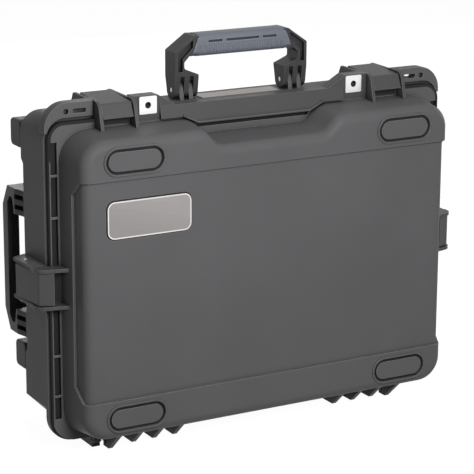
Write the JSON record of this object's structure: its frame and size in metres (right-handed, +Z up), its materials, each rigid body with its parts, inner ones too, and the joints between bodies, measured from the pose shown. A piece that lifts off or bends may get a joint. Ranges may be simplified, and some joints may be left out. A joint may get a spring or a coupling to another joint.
{
  "type": "tool case",
  "caption": "Upright hard-shell tool case with a front lid on a bottom hinge, lever latches, folding top and side handles, and padlock tabs.",
  "frame": {"origin": "on the floor under the middle of the case's width and thickness, standing on its hinge side", "axes": "+X along the case's width, +Y from the lid's face to the back, +Z up from the hinge side to the top handle"},
  "size_m": [0.5144, 0.178, 0.4289],
  "materials": {
    "case_plastic": "matt black moulded polypropylene, finely textured",
    "latch_plastic": "matt black moulded nylon",
    "hook_plastic": "black moulded nylon",
    "handle_plastic": "matt black moulded nylon",
    "grip_rubber": "grey-blue soft grip, finely ribbed",
    "seal_rubber": "black foam rubber gasket",
    "steel_pin": "plain bright steel",
    "padlock_steel": "bright stainless plate",
    "name_plate_face": "satin silver-grey, bare",
    "label_face": "pale satin label, bare"
  },
  "bodies": {
    "base": {"base_shell": "case_plastic", "base_tabs": "case_plastic", "hinge_pins": "steel_pin", "latch_pins": "steel_pin", "handle_pins": "steel_pin", "base_padlock_plates": "padlock_steel", "top_label": "label_face"},
    "lid": {"lid_shell": "case_plastic", "lid_apron": "case_plastic", "lid_latch_guards": "case_plastic", "lid_seal": "seal_rubber", "name_plate": "name_plate_face", "lid_padlock_plates": "padlock_steel"},
    "top_handle": {"handle_frame_top": "handle_plastic", "handle_grip_top": "grip_rubber"},
    "side_handle_left": {"handle_frame_side_left": "handle_plastic"},
    "side_handle_right": {"handle_frame_side_right": "handle_plastic"},
    "latch_top_left": {"latch_lever_top_left": "latch_plastic", "latch_hook_top_left": "hook_plastic", "hook_pin_top_left": "steel_pin"},
    "latch_top_right": {"latch_lever_top_right": "latch_plastic", "latch_hook_top_right": "hook_plastic", "hook_pin_top_right": "steel_pin"},
    "latch_side_left": {"latch_lever_side_left": "latch_plastic", "latch_hook_side_left": "hook_plastic", "hook_pin_side_left": "steel_pin"},
    "latch_side_right": {"latch_lever_side_right": "latch_plastic", "latch_hook_side_right": "hook_plastic", "hook_pin_side_right": "steel_pin"}
  },
  "joints": [
    {"name": "lid_hinge", "type": "hinge", "parent": "base", "child": "lid", "pos_m": [0, -0.0356, 0.009], "axis": [1, 0, 0], "range_deg": [0, 100]},
    {"name": "top_handle_fold", "type": "hinge", "parent": "base", "child": "top_handle", "pos_m": [0, -0.0074, 0.371], "axis": [1, 0, 0], "range_deg": [-75, 75]},
    {"name": "side_handle_left_fold", "type": "hinge", "parent": "base", "child": "side_handle_left", "pos_m": [-0.226, 0.031, 0.191], "axis": [0, 0, 1], "range_deg": [0, 95]},
    {"name": "side_handle_right_fold", "type": "hinge", "parent": "base", "child": "side_handle_right", "pos_m": [0.226, 0.031, 0.191], "axis": [0, 0, -1], "range_deg": [0, 95]},
    {"name": "latch_top_left_lift", "type": "hinge", "parent": "base", "child": "latch_top_left", "pos_m": [-0.1636, -0.003, 0.3667], "axis": [-1, 0, 0], "range_deg": [0, 95]},
    {"name": "latch_top_right_lift", "type": "hinge", "parent": "base", "child": "latch_top_right", "pos_m": [0.1636, -0.003, 0.3667], "axis": [-1, 0, 0], "range_deg": [0, 95]},
    {"name": "latch_side_left_lift", "type": "hinge", "parent": "base", "child": "latch_side_left", "pos_m": [-0.248, -0.003, 0.1857], "axis": [0, 0, -1], "range_deg": [0, 95]},
    {"name": "latch_side_right_lift", "type": "hinge", "parent": "base", "child": "latch_side_right", "pos_m": [0.248, -0.003, 0.1857], "axis": [0, 0, 1], "range_deg": [0, 95]}
  ]
}
